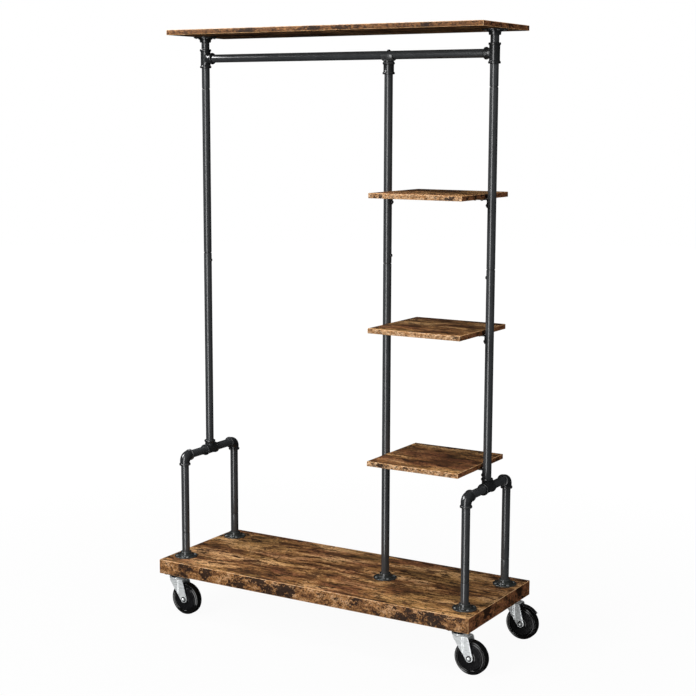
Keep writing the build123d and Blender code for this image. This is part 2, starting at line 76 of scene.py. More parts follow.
TUBE_R = size("inner_post_lower").x / 2
BEAD_R = size("elbow_front_left").x / 2
ARM = size("hoop_tee_left").y / 2
UPRIGHT_X = middle("upright_lower_right").x
POST_X = middle("inner_post_lower").x
LEG_Y = middle("leg_rear_right").y
HOOP_Z = middle("hoop_pipes").z
RAIL_Z = middle("hanging_rail").z
DECK_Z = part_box("base_board")[1].z
TOP_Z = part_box("top_shelf")[0].z
FLANGE_R = size("inner_base_flange").x / 2
FLANGE_H = size("inner_base_flange").z
SHELVES = ("shelf_upper", "shelf_middle", "shelf_lower")

SOCKET = 14 * MM                 # how deep a pipe sits in a fitting
PLAY = 0.1 * MM                  # a bore's radius, over its pipe's
BODY_R = 15.5 * MM               # a fitting, between its beads
BEAD_W = 6.5 * MM
LIP_EASE = 0.6 * MM              # the chamfer inside a mouth
BEND_R = 19 * MM
TUBE_WALL = 1.5 * MM
PIPE_EASE = 1.2 * MM
END_GAP = 1.2 * MM               # a pipe end stops this short of its joint line
ARRIS = 1.2 * MM


# ---- Mesh helpers ----
def frame_of(axis):
    """Two unit directions square to axis."""
    axis = axis.normalized()
    u = axis.cross(Y if abs(axis.y) < 0.9 else X).normalized()
    return u, axis.cross(u)


def polygon_factor(angle, sides):
    """Radius of a regular polygon of unit corner radius, at an angle."""
    if not sides:
        return 1.0
    wedge = 2 * math.pi / sides
    return math.cos(wedge / 2) / math.cos((angle % wedge) - wedge / 2)


def ring(centre, u, v, radius, sides=0, count=AROUND):
    turns = [2 * math.pi * i / count for i in range(count)]
    return [
        centre + (u * math.cos(t) + v * math.sin(t)) * radius * polygon_factor(t, sides)
        for t in turns
    ]


def eased(points, radius, closed=False, steps=4):
    """The outline with each corner rounded, as far as its neighbours leave room."""
    points = [Vector((*p[:2], 0)) for p in points]
    count = len(points)
    out = []
    for i, p in enumerate(points):
        if not closed and i in (0, count - 1):
            out.append(p)
            continue
        before, after = points[i - 1], points[(i + 1) % count]
        a, b = before - p, after - p
        turn = a.angle(b, 0)
        if turn < 0.01 or turn > math.pi - 0.02:
            out.append(p)
            continue
        cut = min(radius / math.tan(turn / 2), a.length * 0.49, b.length * 0.49)
        start, end = p + a.normalized() * cut, p + b.normalized() * cut
        for k in range(steps + 1):
            t = k / steps
            out.append(start * (1 - t) ** 2 + p * 2 * t * (1 - t) + end * t ** 2)
    return [(p.x, p.y) for p in out]


def skin(rings, closed=False):
    """Vertices and faces over rings of equal count. Open ends are capped."""
    count = len(rings[0])
    points = [p for r in rings for p in r]
    faces = []
    steps = len(rings) if closed else len(rings) - 1
    for j in range(steps):
        a, b = j * count, (j + 1) % len(rings) * count
        faces += [(a + i, a + (i + 1) % count, b + (i + 1) % count, b + i) for i in range(count)]
    if not closed:
        last = (len(rings) - 1) * count
        faces += [tuple(range(count)), tuple(last + i for i in range(count))]
    return points, faces


def turned(profile, base, axis, closed=False, count=AROUND):
    """Vertices and faces of a turned piece. profile is (radius, distance along the axis[, polygon sides])."""
    u, v = frame_of(axis)
    axis = axis.normalized()
    rings = [ring(base + axis * p[1], u, v, p[0], *p[2:3], count=count) for p in profile]
    return skin(rings, closed)


def join(*parts):
    points, faces = [], []
    for part_points, part_faces in parts:
        start = len(points)
        points += part_points
        faces += [tuple(start + i for i in f) for f in part_faces]
    return points, faces


def piece(name, shape, material, body, replaces=(), sharp=38, modifiers=()):
    """A mesh object of the given points and faces, riding its body."""
    mesh = bpy.data.meshes.new(name)
    points, faces = shape
    mesh.from_pydata([tuple(p) for p in points], [], faces)
    work = bmesh.new()
    work.from_mesh(mesh)
    bmesh.ops.remove_doubles(work, verts=work.verts, dist=1e-6)
    bmesh.ops.dissolve_degenerate(work, edges=work.edges, dist=1e-6)
    bmesh.ops.recalc_face_normals(work, faces=work.faces)
    work.to_mesh(mesh)
    work.free()
    obj = bpy.data.objects.new(name, mesh)
    bpy.context.scene.collection.objects.link(obj)
    for kind, values in modifiers:
        modifier = obj.modifiers.new(kind.title(), kind)
        for key, value in values.items():
            setattr(modifier, key, value)
    if modifiers:
        bpy.context.view_layer.update()
        applied = bpy.data.meshes.new_from_object(obj.evaluated_get(bpy.context.evaluated_depsgraph_get()))
        obj.modifiers.clear()
        obj.data = applied
        bpy.data.meshes.remove(mesh)
        mesh = applied
    mesh.shade_smooth()
    mesh.set_sharp_from_angle(angle=math.radians(sharp))
    for m in material if isinstance(material, (list, tuple)) else [material]:
        mesh.materials.append(m)
    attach(obj, body)
    if replaces:
        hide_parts(*replaces)
    return obj


# ---- Materials ----
class Graph:
    """A short way to write a material's nodes."""

    def __init__(self, name, **shader):
        self.material = bpy.data.materials.new(name)
        self.material.use_nodes = True
        self.tree = self.material.node_tree
        self.shader = self.tree.nodes["Principled BSDF"]
        for key, value in shader.items():
            self.shader.inputs[key.replace("_", " ")].default_value = value
        self.place = self.add("ShaderNodeTexCoord").outputs["Object"]

    def add(self, kind, links=None, **values):
        node = self.tree.nodes.new(kind)
        for key, value in values.items():
            if hasattr(node, key):
                setattr(node, key, value)
            else:
                node.inputs[key.replace("_", " ")].default_value = value
        for key, source in (links or {}).items():
            self.tree.links.new(source, node.inputs[key])
        return node

    def stretched(self, scale, offset=(0, 0, 0), source=None):
        return self.add(
            "ShaderNodeMapping", {"Vector": source or self.place}, Scale=scale, Location=offset
        ).outputs[0]

    def noise(self, scale, detail=4.0, roughness=0.55, offset=(0, 0, 0), source=None):
        where = self.stretched(scale, offset, source)
        return self.add(
            "ShaderNodeTexNoise", {"Vector": where}, Scale=1.0, Detail=detail, Roughness=roughness
        ).outputs["Fac"]

    def ramp(self, source, *stops):
        """stops are (position, grey or colour)."""
        node = self.add("ShaderNodeValToRGB", {"Fac": source})
        elements = node.color_ramp.elements
        while len(elements) < len(stops):
            elements.new(0.5)
        for element, (position, tone) in zip(elements, stops):
            element.position = position
            element.color = (*tone, 1) if isinstance(tone, tuple) else (tone, tone, tone, 1)
        return node.outputs["Color"]

    def mix(self, amount, a, b, blend="MIX"):
        node = self.tree.nodes.new("ShaderNodeMix")
        node.data_type = "RGBA"
        node.blend_type = blend
        for slot, value in ((0, amount), (6, a), (7, b)):
            if isinstance(value, bpy.types.NodeSocket):
                self.tree.links.new(value, node.inputs[slot])
            elif isinstance(value, tuple):
                node.inputs[slot].default_value = (*value, 1)
            else:
                node.inputs[slot].default_value = value
        return node.outputs[2]

    def sum(self, a, b, operation="ADD"):
        node = self.add("ShaderNodeMath", operation=operation)
        for slot, value in enumerate((a, b)):
            if isinstance(value, bpy.types.NodeSocket):
                self.tree.links.new(value, node.inputs[slot])
            else:
                node.inputs[slot].default_value = value
        return node.outputs[0]

    def set(self, key, source):
        self.tree.links.new(source, self.shader.inputs[key])

    def bump(self, height, distance, strength=1.0):
        node = self.add("ShaderNodeBump", {"Height": height}, Strength=strength, Distance=distance)
        self.set("Normal", node.outputs["Normal"])


# Wood tones, from the darkest to the palest, and two warm ones.
DARK = (0.016, 0.008, 0.005)
UMBER = (0.062, 0.027, 0.011)
BROWN = (0.140, 0.060, 0.022)
GOLD = (0.300, 0.140, 0.048)
TAN = (0.575, 0.325, 0.142)
RED = (0.210, 0.078, 0.036)
STRAW = (0.470, 0.265, 0.090)
PALE = (0.600, 0.400, 0.240)
EDGE_TAN = (0.440, 0.255, 0.130)


def wood_face():
    """Rustic board faces with the grain along X: bands, dashes, knots, short dark checks and grit."""
    g = Graph("wood_face", Roughness=0.6, Specular_IOR_Level=0.1)
    sway = g.noise((5.0, 7.0, 7.0), detail=3.0)
    sway = g.add("ShaderNodeVectorMath", {0: sway}, operation="SCALE", Scale=0.05).outputs[0]
    wavy = g.add("ShaderNodeVectorMath", {0: g.place, 1: sway}, operation="ADD").outputs[0]
    bands = g.noise((4.0, 15.0, 15.0), detail=7.0, roughness=0.68, source=wavy)
    colour = g.ramp(bands, (0.39, UMBER), (0.44, BROWN), (0.50, GOLD), (0.58, TAN))
    warm = g.noise((4.0, 11.0, 11.0), detail=4.0, roughness=0.65, offset=(7, 1, 2), source=wavy)
    colour = g.mix(g.ramp(warm, (0.52, 0.0), (0.62, 0.40)), colour, STRAW)
    colour = g.mix(g.ramp(warm, (0.40, 0.60), (0.48, 0.0)), colour, RED)
    dashes = g.noise((13.0, 88.0, 88.0), detail=5.0, roughness=0.68, offset=(1, 6, 3), source=wavy)
    colour = g.mix(0.9, colour, g.ramp(dashes, (0.41, 0.10), (0.455, 0.70), (0.50, 1.0)), "MULTIPLY")
    grit = g.noise((120.0, 210.0, 210.0), detail=4.0, roughness=0.75, source=wavy)
    colour = g.mix(0.9, colour, g.ramp(grit, (0.41, 0.20), (0.50, 0.90), (0.57, 1.15)), "MULTIPLY")
    knots = g.noise((9.0, 15.0, 15.0), detail=7.0, roughness=0.75, offset=(4, 2, 7), source=wavy)
    colour = g.mix(g.ramp(knots, (0.56, 0.0), (0.595, 0.94)), colour, UMBER)
    checks = g.noise((22.0, 75.0, 75.0), detail=4.0, roughness=0.65, offset=(2, 8, 3), source=wavy)
    checks = g.ramp(checks, (0.585, 0.0), (0.605, 0.97))
    colour = g.mix(checks, colour, DARK)
    g.set("Base Color", colour)
    g.set("Roughness", g.ramp(dashes, (0.3, 0.62), (0.7, 0.50)))
    g.bump(g.sum(g.sum(dashes, grit), g.sum(checks, -1.2, "MULTIPLY")), 0.0006, 0.5)
    return g.material


def wood_edge(name, stretch, dark_share, tones, grain=(90.0, 140.0, 140.0)):
    """Banded edges: a lighter ground with ragged dark patches and a fine grit."""
    g = Graph(name, Roughness=0.6, Specular_IOR_Level=0.1)
    ground = g.noise(stretch, detail=6.0, roughness=0.75)
    colour = g.ramp(ground, *zip((0.36, 0.43, 0.51, 0.62), tones))
    grit = g.noise((170.0, 210.0, 210.0), detail=4.0, roughness=0.75)
    colour = g.mix(0.9, colour, g.ramp(grit, (0.41, 0.12), (0.50, 0.85), (0.58, 1.15)), "MULTIPLY")
    where = g.noise((15.0, 18.0, 18.0), detail=2.0, offset=(3, 1, 4))
    ragged = g.noise(grain, detail=6.0, roughness=0.74, offset=(6, 2, 9))
    patches = g.sum(g.sum(where, 0.5, "MULTIPLY"), g.sum(ragged, 0.5, "MULTIPLY"))
    patches = g.ramp(patches, (dark_share, 0.0), (dark_share + 0.015, 0.95))
    colour = g.mix(patches, colour, DARK)
    g.set("Base Color", colour)
    g.bump(g.sum(grit, patches), 0.0004, 0.4)
    return g.material


def painted_arris_highlight():
    """The rounded arrises, painted paler as a highlight along the board edges."""
    g = Graph("painted_arris_highlight", Roughness=0.6, Specular_IOR_Level=0.2)
    highlight_mottle = g.noise((70.0, 70.0, 70.0), detail=5.0, roughness=0.7)
    # Gold to pale tan: the painted highlight along the arrises.
    g.set("Base Color", g.ramp(highlight_mottle, (0.40, GOLD), (0.5, TAN), (0.62, PALE)))
    g.bump(highlight_mottle, 0.0003, 0.3)
    return g.material


def painted(name, tone, roughness, grain, depth, wear=0.0):
    """Black coated steel or iron: fine orange-peel texture, cloudy gloss, thin lighter wear on its edges."""
    g = Graph(name, Roughness=roughness, Specular_IOR_Level=0.5)
    clouds = g.noise((38.0, 38.0, 9.0), detail=5.0, roughness=0.6)
    low, high = (tuple(c * f for c in tone) for f in (0.85, 1.15))
    colour = g.ramp(clouds, (0.35, low), (0.65, high))
    if wear:
        edges = g.add("ShaderNodeNewGeometry").outputs["Pointiness"]
        ragged = g.ramp(clouds, (0.35, 0.3), (0.6, 1.0))
        rubbed = g.sum(g.ramp(edges, (0.51, 0.0), (0.60, 1.0)), ragged, "MULTIPLY")
        colour = g.mix(g.sum(rubbed, wear, "MULTIPLY"), colour, (0.30, 0.30, 0.30))
    g.set("Base Color", colour)
    g.set("Roughness", g.ramp(clouds, (0.3, roughness + 0.05), (0.7, roughness - 0.04)))
    peel = g.noise((grain, grain, grain), detail=3.0, roughness=0.6)
    g.bump(peel, depth, 0.35)
    return g.material


def zinc(name, dull, bright):
    """Plated steel with faint streaks and cloudy gloss."""
    g = Graph(name, Metallic=0.3, Roughness=0.3)
    streaks = g.noise((40.0, 40.0, 160.0), detail=5.0)
    clouds = g.noise((70.0, 70.0, 70.0), detail=4.0, offset=(3, 3, 3))
    colour = g.ramp(clouds, (0.3, dull), (0.7, bright))
    g.set("Base Color", colour)
    g.set("Roughness", g.ramp(streaks, (0.3, 0.25), (0.7, 0.31)))
    g.bump(streaks, 0.00003, 0.25)
    return g.material


def moulded(name, tone, roughness, grain):
    """Moulded black plastic or rubber."""
    g = Graph(name, Roughness=roughness, Specular_IOR_Level=0.36)
    dust = g.noise((160.0, 160.0, 160.0), detail=4.0)
    colour = g.ramp(dust, (0.35, tuple(c * 0.8 for c in tone)), (0.7, tuple(c * 1.5 for c in tone)))
    g.set("Base Color", colour)
    g.set("Roughness", g.ramp(dust, (0.3, roughness - 0.02), (0.7, roughness + 0.03)))
    g.bump(g.noise((grain, grain, grain), detail=2.0), 0.00003, 0.3)
    return g.material


WOOD_FACE = wood_face()
BOARD_EDGE = wood_edge("board_edge", (34.0, 60.0, 60.0), 0.515, (UMBER, BROWN, GOLD, EDGE_TAN))
THIN_EDGE, THIN_GRAIN = (90.0, 150.0, 150.0), (140.0, 190.0, 190.0)
SHELF_EDGE = wood_edge("shelf_edge", THIN_EDGE, 0.56, (BROWN, GOLD, EDGE_TAN, PALE), THIN_GRAIN)
TOP_EDGE = wood_edge("top_edge", THIN_EDGE, 0.55, (UMBER, BROWN, BROWN, GOLD), THIN_GRAIN)
WOOD_END = wood_edge("wood_end", (60.0, 22.0, 70.0), 0.54, (UMBER, BROWN, RED, GOLD), (90.0, 50.0, 90.0))
ARRIS_HIGHLIGHT = painted_arris_highlight()
PIPE = painted("pipe_black", (0.034, 0.036, 0.038), 0.20, 2600.0, 0.00003)
CAST = painted("cast_black", (0.016, 0.017, 0.018), 0.20, 900.0, 0.0003, wear=0.35)
FLANGE = painted("flange_black", (0.020, 0.022, 0.021), 0.22, 500.0, 0.0006, wear=0.4)
BLACK = painted("fastener_black", (0.007, 0.007, 0.008), 0.26, 1800.0, 0.0001, wear=0.08)
SCREW = painted("screw_black", (0.10, 0.105, 0.105), 0.18, 1800.0, 0.0001, wear=0.8)
ZINC = zinc("zinc", (0.55, 0.57, 0.575), (0.62, 0.64, 0.645))
ZINC_BOLT = zinc("zinc_bolt", (0.50, 0.52, 0.52), (0.62, 0.64, 0.64))
HUB = moulded("wheel_black", (0.006, 0.006, 0.0065), 0.15, 700.0)
RUBBER = moulded("tyre_black", (0.004, 0.004, 0.004), 0.14, 1400.0)


# ---- Boards ----
FLAT = 0.99                      # a face whose normal is this near an axis isn't part of an arris


def slab(node):
    """A board with rounded arrises; its faces, long edges, ends and arrises have their own materials."""
    low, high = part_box(node)
    work = bmesh.new()
    bmesh.ops.create_cube(work, size=1.0)
    for v in work.verts:
        v.co = Vector(low[k] if v.co[k] < 0 else high[k] for k in range(3))
    bmesh.ops.bevel(
        work, geom=work.edges[:], offset=ARRIS, segments=3, affect="EDGES", profile=0.5, clamp_overlap=True
    )
    points = [v.co.copy() for v in work.verts]
    faces = [tuple(v.index for v in f.verts) for f in work.faces]
    work.free()
    edge = {"base_board": BOARD_EDGE, "top_shelf": TOP_EDGE}.get(node, SHELF_EDGE)
    # The arrises get a paler material, a painted highlight along the board edges.
    materials = [WOOD_END, edge, WOOD_FACE, ARRIS_HIGHLIGHT]    # facing X, Y and Z, then the arrises
    obj = piece(f"{node}_wood", (points, faces), materials, "rack", [node])
    for polygon in obj.data.polygons:
        steep = [abs(c) for c in polygon.normal]
        polygon.material_index = steep.index(max(steep)) if max(steep) > FLAT else materials.index(ARRIS_HIGHLIGHT)


for node in ("base_board", "top_shelf", *SHELVES):
    slab(node)


# ---- Pipes ----
def pipe_shape(start, end):
    """A pipe with rounded rims, open at both ends."""
    length = (end - start).length - END_GAP
    bore = TUBE_R - TUBE_WALL
    outline = [(TUBE_R, END_GAP), (TUBE_R, length), (bore, length), (bore, END_GAP)]
    return turned(eased(outline, PIPE_EASE, closed=True), start, end - start, closed=True)


def pipes(name, runs, node):
    piece(name, join(*[pipe_shape(*run) for run in runs]), PIPE, "rack", [node])


def upright(x, y, node):
    """The ends of a vertical pipe that is as high as its node's box."""
    low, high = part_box(node)
    return Vector((x, y, low.z)), Vector((x, y, high.z))


legs = {f"{e}_{s}": (SIDES[s] * UPRIGHT_X, ENDS[e] * LEG_Y) for e in ENDS for s in SIDES}
for place, (x, y) in legs.items():
    pipes(f"leg_pipe_{place}", [upright(x, y, f"leg_{place}")], f"leg_{place}")
pipes("leg_nipple_pipes", [upright(x, y, "leg_nipples") for x, y in legs.values()], "leg_nipples")
hoop_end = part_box("hoop_pipes")[1].y
pipes(
    "hoop_cross_pipes",
    [
        (Vector((x, math.copysign(ARM - SOCKET, y), HOOP_Z)), Vector((x, math.copysign(hoop_end, y), HOOP_Z)))
        for x, y in legs.values()
    ],
    "hoop_pipes",
)
for side, sign in SIDES.items():
    for level in ("lower", "upper"):
        node = f"upright_{level}_{side}"
        pipes(f"{node}_pipe", [upright(sign * UPRIGHT_X, 0, node)], node)
for node in ("upright_tops", "top_nipples"):
    pipes(f"{node}_pipes", [upright(sign * UPRIGHT_X, 0, node) for sign in SIDES.values()], node)
for node in ("inner_post_lower", "inner_post_upper"):
    pipes(f"{node}_pipe", [upright(POST_X, 0, node)], node)
rail_low, rail_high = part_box("hanging_rail")
pipes("rail_pipe", [(Vector((rail_low.x, 0, RAIL_Z)), Vector((rail_high.x, 0, RAIL_Z)))], "hanging_rail")


# ---- Cast fittings ----
BEAD_FULLNESS = 0.6              # below 1, a bead is squarer than round
FILLET = ((0.5 * MM, 0.4 * MM), (0, 1.6 * MM))    # (over the body's radius, past the bead)


def bead(foot_r, start):
    """(radius, distance) over a rolled collar that stands on foot_r."""
    turns = [math.pi * k / 8 for k in range(1, 8)]
    return [
        (foot_r + (BEAD_R - foot_r) * math.sin(t) ** BEAD_FULLNESS, start + BEAD_W * (1 - math.cos(t)) / 2)
        for t in turns
    ]


def mouth_profile(depth=SOCKET):
    """(radius, distance back from the mouth) from inside the socket, over the bead, to the body."""
    inner = TUBE_R + PLAY
    lip = BEAD_R - 1.6 * MM
    rows = [(0, depth - MM), (inner, depth - MM), (inner, LIP_EASE), (inner + LIP_EASE, 0), (lip, 0)]
    rows += bead(lip, 0)
    rows += [(BODY_R + proud, BEAD_W + past) for proud, past in FILLET]
    return rows


ELBOW_BULGE = 0.9 * MM           # how much an elbow swells at the middle of its bend


def elbow_shape(corner, a, b):
    """A bend whose mouths face a and b."""
    side = a.cross(b).normalized()
    straight = ARM - BEND_R
    centre = corner + (a + b) * BEND_R
    rings = []
    for radius, back in mouth_profile(depth=straight):
        rings.append(ring(corner + a * (ARM - back), side, a.cross(side), radius))
    steps = 18
    for k in range(steps + 1):
        t = math.pi / 2 * k / steps
        spot = centre - b * BEND_R * math.cos(t) - a * BEND_R * math.sin(t)
        along = -a * math.cos(t) + b * math.sin(t)
        bulge = ELBOW_BULGE * math.sin(2 * t)
        rings.append(ring(spot, side, side.cross(along), BODY_R + bulge))
    for radius, back in reversed(mouth_profile(depth=straight)):
        rings.append(ring(corner + b * (ARM - back), side, side.cross(b), radius))
    return skin(rings)


TEE_OPEN, TEE_NECK = 0.78, 1.12  # half the window in the run, and the branch's foot, in body radii


def tee_shape(centre, run, branch):
    """A straight run with a branch, its shell bridged by quads and subdivided smooth."""
    # Facets round, facets from the middle of the branch to its side, and rows that it opens.
    count, wing, rows_open = 24, 4, 4
    third = run.cross(branch)
    half_open = BODY_R * TEE_OPEN
    profile = mouth_profile()
    stations = [(r, back - ARM) for r, back in profile]
    stations += [(BODY_R, half_open * (2 * k / rows_open - 1)) for k in range(rows_open + 1)]
    stations += [(r, ARM - back) for r, back in reversed(profile)]
    points, faces, rows = [], [], []
    for radius, along in stations:
        rows.append(len(points))
        points += ring(centre + run * along, branch, third, radius, count=count)
    first = len(profile)
    opened = range(first, first + rows_open)
    for j in range(len(rows) - 1):
        for i in range(count):
            column = i if i < count / 2 else i - count
            if j in opened and -wing <= column < wing:
                continue
            a, b = rows[j], rows[j + 1]
            faces.append((a + i, a + (i + 1) % count, b + (i + 1) % count, b + i))
    faces += [tuple(range(count)), tuple(rows[-1] + i for i in range(count))]
    top, bottom = rows[first + rows_open], rows[first]
    rim = [top + i % count for i in range(-wing, wing + 1)]
    rim += [rows[first + rows_open - k] + wing for k in range(1, rows_open)]
    rim += [bottom + i % count for i in range(wing, -wing - 1, -1)]
    rim += [rows[first + k] + (count - wing) for k in range(1, rows_open)]
    wedge = 360 / count
    turns = [math.radians(wedge * (i - wing)) for i in range(count)]
    previous = rim
    for radius, back in reversed(profile + [(BODY_R, ARM - BODY_R * TEE_NECK)]):
        spot = centre + branch * (ARM - back)
        start = len(points)
        points += [spot + (run * math.cos(t) + third * math.sin(t)) * radius for t in turns]
        new = [start + i for i in range(count)]
        for i in range(count):
            k = (i + 1) % count
            faces.append((previous[i], previous[k], new[k], new[i]))
        previous = new
    faces.append(tuple(previous))
    return points, faces


SMOOTH = [("SUBSURF", {"levels": 2, "render_levels": 2})]


def elbow(place):
    x, y = legs[place]
    corner = Vector((x, y, HOOP_Z))
    shape = elbow_shape(corner, -Z, Vector((0, -math.copysign(1, y), 0)))
    piece(f"elbow_cast_{place}", shape, CAST, "rack", [f"elbow_{place}"])


for place in PLACES:
    elbow(place)
for side, sign in SIDES.items():
    hoop_centre = Vector((sign * UPRIGHT_X, 0, HOOP_Z))
    piece(
        f"hoop_tee_cast_{side}", tee_shape(hoop_centre, Y, Z), CAST, "rack",
        [f"hoop_tee_{side}"], modifiers=SMOOTH,
    )
    top_centre = Vector((sign * UPRIGHT_X, 0, RAIL_Z))
    piece(
        f"top_tee_cast_{side}", tee_shape(top_centre, Z, -X * sign), CAST, "rack",
        [f"top_tee_{side}"], modifiers=SMOOTH,
    )


SADDLE_R = 16.5 * MM             # outside of the half shell under the rail
SADDLE_RIM = 0.6 * MM            # its rounded ends
SADDLE_THIN = 0.21               # how far they draw in towards the middle of the wall
COLLAR_DROP = 20 * MM            # rail axis down to the top of the upper collar
SADDLE_CORE = 14 * MM            # the solid core under the rail stops this short of the casting's top
BOSS_DROP = 19 * MM              # rail axis down to the boss's
BOSS = [(0, 17.5), (3, 17.5, 6), (3, 20, 6), (5.6, 20), (6.6, 19.6), (7, 18.6), (7, 8), (0, 8)]


def turned_mm(profile, base, axis, **options):
    """A turned piece whose profile is in millimetres."""
    return turned([(r * MM, h * MM, *sides) for r, h, *sides in profile], base, axis, **options)


def saddle_shape():
    """The tee under the hanging rail: a collared socket, a half shell that holds the rail, and a boss."""
    low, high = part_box("saddle_tee")
    core = high.z - low.z - SADDLE_CORE
    upper = RAIL_Z - low.z - COLLAR_DROP
    foot = upper - BEAD_W
    rows = mouth_profile()
    rows += [(BODY_R + proud, foot - past) for proud, past in reversed(FILLET)]
    rows += bead(BODY_R, foot)
    rows += [(BODY_R, upper + 0.8 * MM), (BODY_R, core), (0, core)]
    socket = turned(rows, Vector((POST_X, 0, low.z)), Z)
    half = (high.x - low.x) / 2
    inner_r = TUBE_R + PLAY
    wall_r = (SADDLE_R + inner_r) / 2
    turns = [math.pi * (1 + k / 24) for k in range(25)]
    outline = [(SADDLE_R, t) for t in turns] + [(inner_r, t) for t in reversed(turns)]
    centre = Vector((POST_X, 0, RAIL_Z))
    rings = []
    for along, shrink in (
        (-half, SADDLE_THIN), (-half + SADDLE_RIM, 0), (half - SADDLE_RIM, 0), (half, SADDLE_THIN),
    ):
        row = []
        for r, t in outline:
            drawn = r + (wall_r - r) * shrink
            row.append(centre + X * along + (Y * math.cos(t) + Z * math.sin(t)) * drawn)
        rings.append(row)
    boss = turned_mm(BOSS, Vector((POST_X, 0, RAIL_Z - BOSS_DROP)), -Y)
    return join(socket, skin(rings), boss)


piece("saddle_tee_cast", saddle_shape(), CAST, "rack", ["saddle_tee"])


# ---- Flanges and fasteners ----
PLATE_H = 4 * MM                 # the flange's plate
SCREW_RING = 28.5 * MM
FLANGE_STEP = [(23 * MM, PLATE_H), (22 * MM, 7.5 * MM), (18.2 * MM, 8.4 * MM), (17 * MM, FLANGE_H)]
FLANGE_EASE = 1.1 * MM


def flange_shape(x, y, seat_z, up):
    """A floor flange: a round plate, a step and a neck round the pipe."""
    bore = TUBE_R + PLAY
    outline = [(bore, 0), (FLANGE_R, 0), (FLANGE_R, PLATE_H), *FLANGE_STEP, (bore, FLANGE_H)]
    return turned(eased(outline, FLANGE_EASE, closed=True), Vector((x, y, seat_z)), Z * up, closed=True)


# Head radius and height, shank length and radius.
BOLT_SIZE = (5.2 * MM, 3.6 * MM, 10 * MM, 3 * MM)
RAIL_BOLT_SIZE = (5.2 * MM, 3.6 * MM, 30 * MM, 3 * MM)
SCREW_SIZE = (4.2 * MM, 2.6 * MM, 8 * MM, 2.2 * MM)
DOME_TURN = math.pi / 2 * 0.72   # how far the dome turns in before its flat
RIM_SHARE = 0.12                 # the head's upright rim, of its height
SOCKET_SHARE = 0.42              # the hexagon socket's radius, of the head's
SOCKET_FLOOR = 0.4               # and its floor, of the head's height


def screw_shape(spot, out, radius, height, shank, shank_r):
    """A domed head with a hexagon socket, and its plain shank."""
    rows = [(0, -shank), (shank_r * 0.7, -shank), (shank_r, -shank + 0.8 * MM), (shank_r, 0)]
    rows.append((radius * 0.96, 0))
    for k in range(7):
        t = DOME_TURN * k / 6
        rise = RIM_SHARE + (1 - RIM_SHARE) * math.sin(t) / math.sin(DOME_TURN)
        rows.append((radius * math.cos(t), height * rise))
    socket, floor_h = radius * SOCKET_SHARE, height * SOCKET_FLOOR
    rows += [(socket * 1.15, height), (socket, height * 0.96, 6), (socket * 0.98, floor_h, 6), (0, floor_h)]
    return turned(rows, spot, out, count=36)


def on_ring(x, y, radius):
    """Four places round a point, on the diagonals."""
    turns = [math.radians(45 + 90 * i) for i in range(4)]
    return [(x + radius * math.cos(t), y + radius * math.sin(t)) for t in turns]


flange_spots = {
    "base_flanges_left": [(-UPRIGHT_X, -LEG_Y), (-UPRIGHT_X, LEG_Y)],
    "base_flanges_right": [(UPRIGHT_X, -LEG_Y), (UPRIGHT_X, LEG_Y)],
    "inner_base_flange": [(POST_X, 0)],
}
board_screws = []
for node, spots in flange_spots.items():
    shape = join(*[flange_shape(x, y, DECK_Z, 1) for x, y in spots])
    piece(f"{node}_cast", shape, FLANGE, "rack", [node])
    for x, y in spots:
        board_screws += [(Vector((sx, sy, DECK_Z + PLATE_H)), Z) for sx, sy in on_ring(x, y, SCREW_RING)]
top_spots = [(-UPRIGHT_X, 0), (UPRIGHT_X, 0)]
piece(
    "top_flanges_cast", join(*[flange_shape(x, y, TOP_Z, -1) for x, y in top_spots]), CAST, "rack",
    ["top_flanges"],
)
shelf_screws = [
    (Vector((sx, sy, TOP_Z - PLATE_H)), -Z) for x, y in top_spots for sx, sy in on_ring(x, y, SCREW_RING)
]

BRACKET_T = 2.5 * MM
BRACKET_REACH = 64 * MM          # from the post's axis
BRACKET_DROP = 25 * MM
BRACKET_HALF = 11 * MM
BRACKET_ROOT = TUBE_R - 1 * MM   # the strip starts just inside the post's surface
BRACKET_CORNER = 5 * MM
BRACKET_MID = 38 * MM            # its rims are eased away from here
BRACKET_SPREAD = math.radians(58)    # how far the saddle wraps to each side
BRACKET_TAPER = 6 * MM           # how much shorter it is at its sides
BRACKET_SCREWS = (32 * MM, 54 * MM)
BRACKET_BOLT = 18 * MM           # below the shelf
JOINT_BOLT = 24 * MM             # from the joint in each post


def bracket_shape(post_x, facing, z):
    """A strip screwed under the shelf, bent down into a saddle that hugs the post."""
    out = X * facing
    post = Vector((post_x, 0, z))
    half = BRACKET_HALF
    corners = [(BRACKET_ROOT, -half), (BRACKET_REACH, -half), (BRACKET_REACH, half), (BRACKET_ROOT, half)]
    outline = eased(corners, BRACKET_CORNER, closed=True, steps=6)
    ease = 0.3 * MM
    tongue = []
    for depth, inset in ((0, ease), (-ease, 0), (-BRACKET_T + ease, 0), (-BRACKET_T, ease)):
        tongue.append([
            post + Z * depth
            + out * (px - math.copysign(inset, px - BRACKET_MID)) + Y * (py - math.copysign(inset, py))
            for px, py in outline
        ])
    saddle = []
    steps = 16
    rim = 0.4 * MM
    r_in, r_out = TUBE_R + 0.05 * MM, TUBE_R + BRACKET_T
    for k in range(steps + 1):
        t = BRACKET_SPREAD * (2 * k / steps - 1)
        direction = out * math.cos(t) + Y * math.sin(t)
        drop = BRACKET_DROP - BRACKET_TAPER * (abs(t) / BRACKET_SPREAD) ** 4
        saddle.append([
            post + direction * r_in,
            post + direction * r_out,
            post + direction * r_out - Z * (drop - rim),
            post + direction * (r_out - rim) - Z * drop,
            post + direction * r_in - Z * drop,
        ])
    return join(skin(tongue), skin(saddle))


